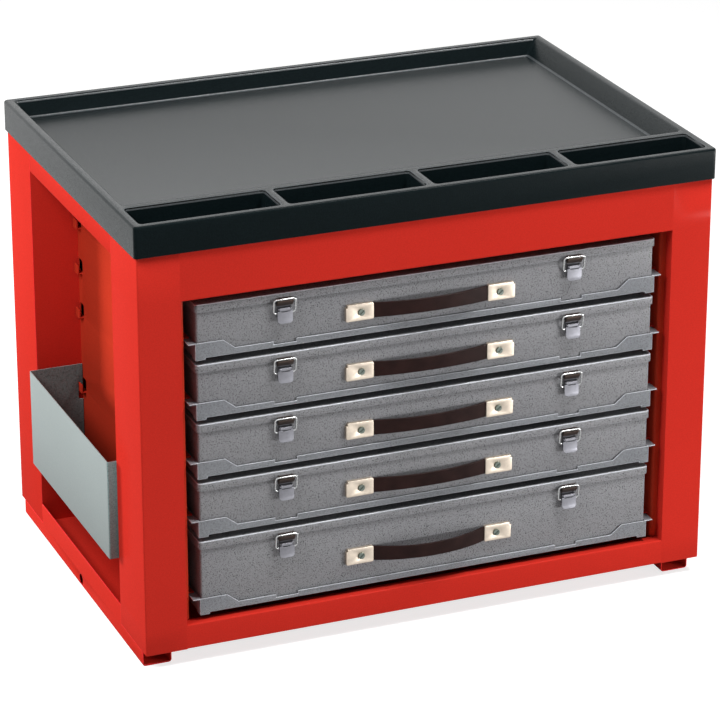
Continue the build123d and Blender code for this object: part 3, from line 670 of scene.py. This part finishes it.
# drawn in millimetres, with y towards the case
handle = {
    "capHalf": 14.5, "capTall": 8.5, "capProud": 3.8, "capRound": 1.6, "capEdge": 0.7, "capSharp": 35,
    "bite": (1.6, 2.6), "dish": 4.6, "dishSides": 24, "dishDeep": 0.7, "dishFloor": 0.76, "edgeAngle": 60,
    "screwShift": 1.5, "screw": 3.3, "screwSides": 20, "screwProud": 0.9, "screwEdge": 0.12 * mm,
    "slotHalf": (0.6, 2.6), "slotDeep": 0.9, "slotTurn": 40,
    "strapHalf": 7.7, "waist": 0.915, "waistRate": 1.5, "strapThick": 2.2, "strapLift": 0.3, "entry": 8.0,
    "steps": 24, "strapEdge": 0.45 * mm, "strapSharp": 40,
}


# plate with three rounded corners, a small bite at the outer top corner and a dish for the screw
def handleCap(outer):
    bm = bmesh.new()
    half, tall, proud = handle["capHalf"], handle["capTall"], handle["capProud"]
    biteWide, biteTall = handle["bite"]
    corners = [(-half, -tall), (half, -tall), (half, tall - biteTall), (half - biteWide, tall - biteTall),
               (half - biteWide, tall), (-half, tall)]
    face = bm.faces.new([bm.verts.new((outer * x, -proud, z)) for x, z in corners])
    rounded = [face.verts[i] for i in (0, 1, 5)]
    bmesh.ops.bevel(bm, geom=rounded, offset=handle["capRound"], affect="VERTICES", segments=4, profile=0.5,
                    material=-1)
    bmesh.ops.delete(bm, geom=list(bm.faces), context="FACES_ONLY")
    rim = list(bm.edges)
    shift = -outer * handle["screwShift"]
    turn = Matrix.Translation((shift, -proud, 0)) @ Matrix.Rotation(pi / 2, 4, "X")
    dish = bmesh.ops.create_circle(bm, cap_ends=False, segments=handle["dishSides"], radius=handle["dish"],
                                   matrix=turn)
    dishEdges = edgesOf(dish["verts"])
    bmesh.ops.bridge_loops(bm, edges=rim + dishEdges)
    seat = runOn(bm, dishEdges, (0, handle["dishDeep"], 0))
    bmesh.ops.scale(bm, vec=(handle["dishFloor"], 1, handle["dishFloor"]),
                    space=Matrix.Translation((-shift, 0, 0)), verts=cornersOf(seat))
    bmesh.ops.holes_fill(bm, edges=seat, sides=0)
    back = runOn(bm, rim, (0, proud, 0))
    bmesh.ops.holes_fill(bm, edges=back, sides=0)
    finishShell(bm)
    front = [edge for edge in bm.edges if edge.calc_face_angle(0.0) > radians(handle["edgeAngle"])
             and liesIn(edge, 1, -proud, limits["drawnPlane"])]
    bmesh.ops.bevel(bm, geom=front, offset=handle["capEdge"], affect="EDGES", segments=3, profile=0.5,
                    material=-1)
    return bm


# round head with a screwdriver slot
def capScrew(outer):
    bm = bmesh.new()
    slotWide, slotLong = handle["slotHalf"]
    bmesh.ops.create_circle(bm, cap_ends=True, segments=handle["screwSides"], radius=handle["screw"])
    slotSides = [((0, slotWide, 0), (0, 1, 0)), ((0, -slotWide, 0), (0, 1, 0)),
                 ((slotLong, 0, 0), (1, 0, 0)), ((-slotLong, 0, 0), (1, 0, 0))]
    cutBy(bm, [*bm.verts, *bm.edges, *bm.faces], slotSides)
    extrudeBy(bm, list(bm.faces), (0, 0, handle["dishDeep"] + handle["screwProud"]))
    finishShell(bm)
    topFaces = [face for face in bm.faces if face.normal.z > 0.9]
    slotFace = min(topFaces, key=lambda face: face.calc_center_median().xy.length)
    pushFace(bm, slotFace, (0, 0, -handle["slotDeep"]))
    seatY = handle["dishDeep"] - handle["capProud"]
    turn = (Matrix.Translation((-outer * handle["screwShift"], seatY, 0)) @ Matrix.Rotation(pi / 2, 4, "X")
            @ Matrix.Rotation(radians(handle["slotTurn"]), 4, "Z"))
    bmesh.ops.transform(bm, matrix=turn, verts=bm.verts)
    return bm


# flat strap drawn round an arc between its caps, narrowest in its middle
def bowedStrap(mouth, bow):
    bm = bmesh.new()
    half, thick, lift = handle["strapHalf"], handle["strapThick"], handle["strapLift"]
    radius = (mouth ** 2 + bow ** 2) / (2 * bow)
    corners = [(-lift, -half), (-lift, half), (-lift - thick, half), (-lift - thick, -half)]
    section = bm.faces.new([bm.verts.new((-mouth, y, z)) for y, z in corners])
    centreY = -lift - thick / 2 - bow + radius
    last = bmesh.ops.spin(bm, geom=[section], cent=(0, centreY, 0), axis=(0, 0, 1), dvec=(0, 0, 0),
                          angle=2 * asin(mouth / radius), steps=handle["steps"], use_merge=False,
                          use_duplicate=False)["geom_last"]
    for face, step in zip([section, *only(last, faceKind)], (-handle["entry"], handle["entry"])):
        pushFace(bm, face, (step, 0, 0))
    for vert in bm.verts:
        inside = max(0.0, 1 - abs(vert.co.x) / mouth)
        vert.co.z *= 1 - (1 - handle["waist"]) * min(1.0, handle["waistRate"] * inside)
    finishShell(bm)
    return bm


for n in shelves:
    strapNode = "handle_strap_%d" % n
    fittings = "case_fittings_%d" % n
    low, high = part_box(strapNode)
    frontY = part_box("case_base_%d" % n)[0].y
    centre = Vector(((low.x + high.x) / 2, frontY, (low.z + high.z) / 2))
    mouth = (high.x - low.x) / 2 / mm - handle["entry"]
    bow = (frontY - low.y) / mm - handle["strapLift"] - handle["strapThick"]
    addPiece(putAt(bowedStrap(mouth, bow), centre), camelName(strapNode, "Band"), [strapBrown], [strapNode],
             sharp=handle["strapSharp"], bevelWidth=handle["strapEdge"], segments=3)
    caps = bmesh.new()
    screws = bmesh.new()
    for outer in (-1, 1):
        place = centre + Vector((outer * (mouth + handle["capHalf"]) * mm, 0, 0))
        joinInto(caps, putAt(handleCap(outer), place))
        joinInto(screws, putAt(capScrew(outer), place))
    addPiece(caps, "handleCaps%d" % n, [capPlate], [fittings], sharp=handle["capSharp"])
    addPiece(screws, "capScrews%d" % n, [steelScrew], [fittings], sharp=handle["capSharp"],
             bevelWidth=handle["screwEdge"])
print("stage 6: handles ready")


# Floor, backdrop and light

studio = {
    "ambient": 0.17,
    "floorSize": 6.0,
    "floorDrop": 0.2 * mm,
    "paper": 0.4,
    "paperDark": 0.98,
    "paperScale": 30,
    "paperRoughness": 0.9,
    "paperSpecular": 0.1,
    "paperSeen": 0.55,
    "paperGlow": 0.75,
    "lamps": {
        "rearLeft": {"place": (-1.35, 1.80, 0.30), "target": (-0.3, 0.0, 0.2), "size": (0.5, 0.5),
                     "power": 50, "inGloss": False},
        "frontLeft": {"place": (-1.30, -0.45, 1.50), "target": (0.0, -0.1, 0.2), "size": (0.9, 0.9),
                      "power": 24, "inGloss": False},
        "frontRight": {"place": (1.35, -1.45, 0.09), "target": (0.0, -0.2, 0.2), "size": (0.9, 0.16),
                       "power": 19, "inGloss": True},
        "overhead": {"place": (0.75, -0.72, 2.1), "target": (0.0, 0.0, 0.4), "size": (0.6, 0.6),
                     "power": 32, "inGloss": True},
    },
}


def mixShaders(tree, share, first, second):
    mix = tree.nodes.new("ShaderNodeMixShader")
    tree.links.new(share, mix.inputs["Fac"])
    tree.links.new(first, mix.inputs[1])
    tree.links.new(second, mix.inputs[2])
    return mix.outputs["Shader"]


# the white shader to the camera and in reflections, and the plain one for all other light
def showWhite(tree, plain, white):
    path = tree.nodes.new("ShaderNodeLightPath")
    seen = path.outputs["Is Camera Ray"]
    for kind in ("Is Glossy Ray", "Is Transmission Ray"):
        add = tree.nodes.new("ShaderNodeMath")
        add.operation = "ADD"
        add.use_clamp = True
        tree.links.new(seen, add.inputs[0])
        tree.links.new(path.outputs[kind], add.inputs[1])
        seen = add.outputs[0]
    return mixShaders(tree, seen, plain, white)


world = bpy.data.worlds.new("studioWorld")
scene.world = world
world.use_nodes = True
tree = world.node_tree
plain = tree.nodes["Background"]
white = tree.nodes.new("ShaderNodeBackground")
for node, strength in ((plain, studio["ambient"]), (white, 1.0)):
    node.inputs["Color"].default_value = (1.0, 1.0, 1.0, 1.0)
    node.inputs["Strength"].default_value = strength
surroundings = showWhite(tree, plain.outputs[0], white.outputs[0])
tree.links.new(surroundings, tree.nodes["World Output"].inputs["Surface"])

for lampName, values in studio["lamps"].items():
    light = bpy.data.lights.new(lampName + "Softbox", "AREA")
    light.shape = "ELLIPSE"
    light.size, light.size_y = values["size"]
    light.energy = values["power"]
    lamp = bpy.data.objects.new(lampName + "Softbox", light)
    scene.collection.objects.link(lamp)
    lamp.location = values["place"]
    aim = Vector(values["target"]) - lamp.location
    lamp.rotation_euler = aim.to_track_quat("-Z", "Y").to_euler()
    lamp.visible_camera = False
    lamp.visible_glossy = values["inGloss"]


# the floor glows towards the camera and in reflections, and to the camera it also keeps the shadow
def studioPaper():
    material, tree, shader = startMaterial("paleStudioPaper")
    fibre = noise(tree, placeCoords(tree), studio["paperScale"], detail=3.0)
    paper = tones(tree, fibre, (studio["paper"],) * 3, studio["paperDark"], 1.0)
    tree.links.new(paper, shader.inputs["Base Color"])
    shader.inputs["Roughness"].default_value = studio["paperRoughness"]
    shader.inputs["Specular IOR Level"].default_value = studio["paperSpecular"]
    lit = tree.nodes.new("ShaderNodeBsdfDiffuse")
    lit.inputs["Color"].default_value = (studio["paperSeen"],) * 3 + (1.0,)
    glow = tree.nodes.new("ShaderNodeEmission")
    glow.inputs["Strength"].default_value = studio["paperGlow"]
    both = tree.nodes.new("ShaderNodeAddShader")
    tree.links.new(lit.outputs[0], both.inputs[0])
    tree.links.new(glow.outputs[0], both.inputs[1])
    path = tree.nodes.new("ShaderNodeLightPath")
    seen = mixShaders(tree, path.outputs["Is Camera Ray"], glow.outputs[0], both.outputs[0])
    surface = showWhite(tree, shader.outputs[0], seen)
    tree.links.new(surface, tree.nodes["Material Output"].inputs["Surface"])
    return material


bm = bmesh.new()
bmesh.ops.create_grid(bm, x_segments=1, y_segments=1, size=studio["floorSize"])
mesh = bpy.data.meshes.new("studioFloor")
bm.to_mesh(mesh)
bm.free()
mesh.materials.append(studioPaper())
floor = bpy.data.objects.new("studioFloor", mesh)
floor.location = (0, 0, -studio["floorDrop"])
scene.collection.objects.link(floor)


# Camera at the photograph's place

view = {
    "place": (-1.25287, -3.09334, 1.56627), "yaw": 22.2, "pitch": 22.175, "lens": 175.0, "sensor": 36.0,
    "farthest": 60.0,
}
cameraData = bpy.data.cameras.new("photoCamera")
cameraData.sensor_width = view["sensor"]
cameraData.lens = view["lens"]
cameraData.clip_end = view["farthest"]
camera = bpy.data.objects.new("photoCamera", cameraData)
scene.collection.objects.link(camera)
camera.location = view["place"]
camera.rotation_euler = (radians(90 - view["pitch"]), 0, radians(-view["yaw"]))
scene.camera = camera
print("stage 7: studio ready")
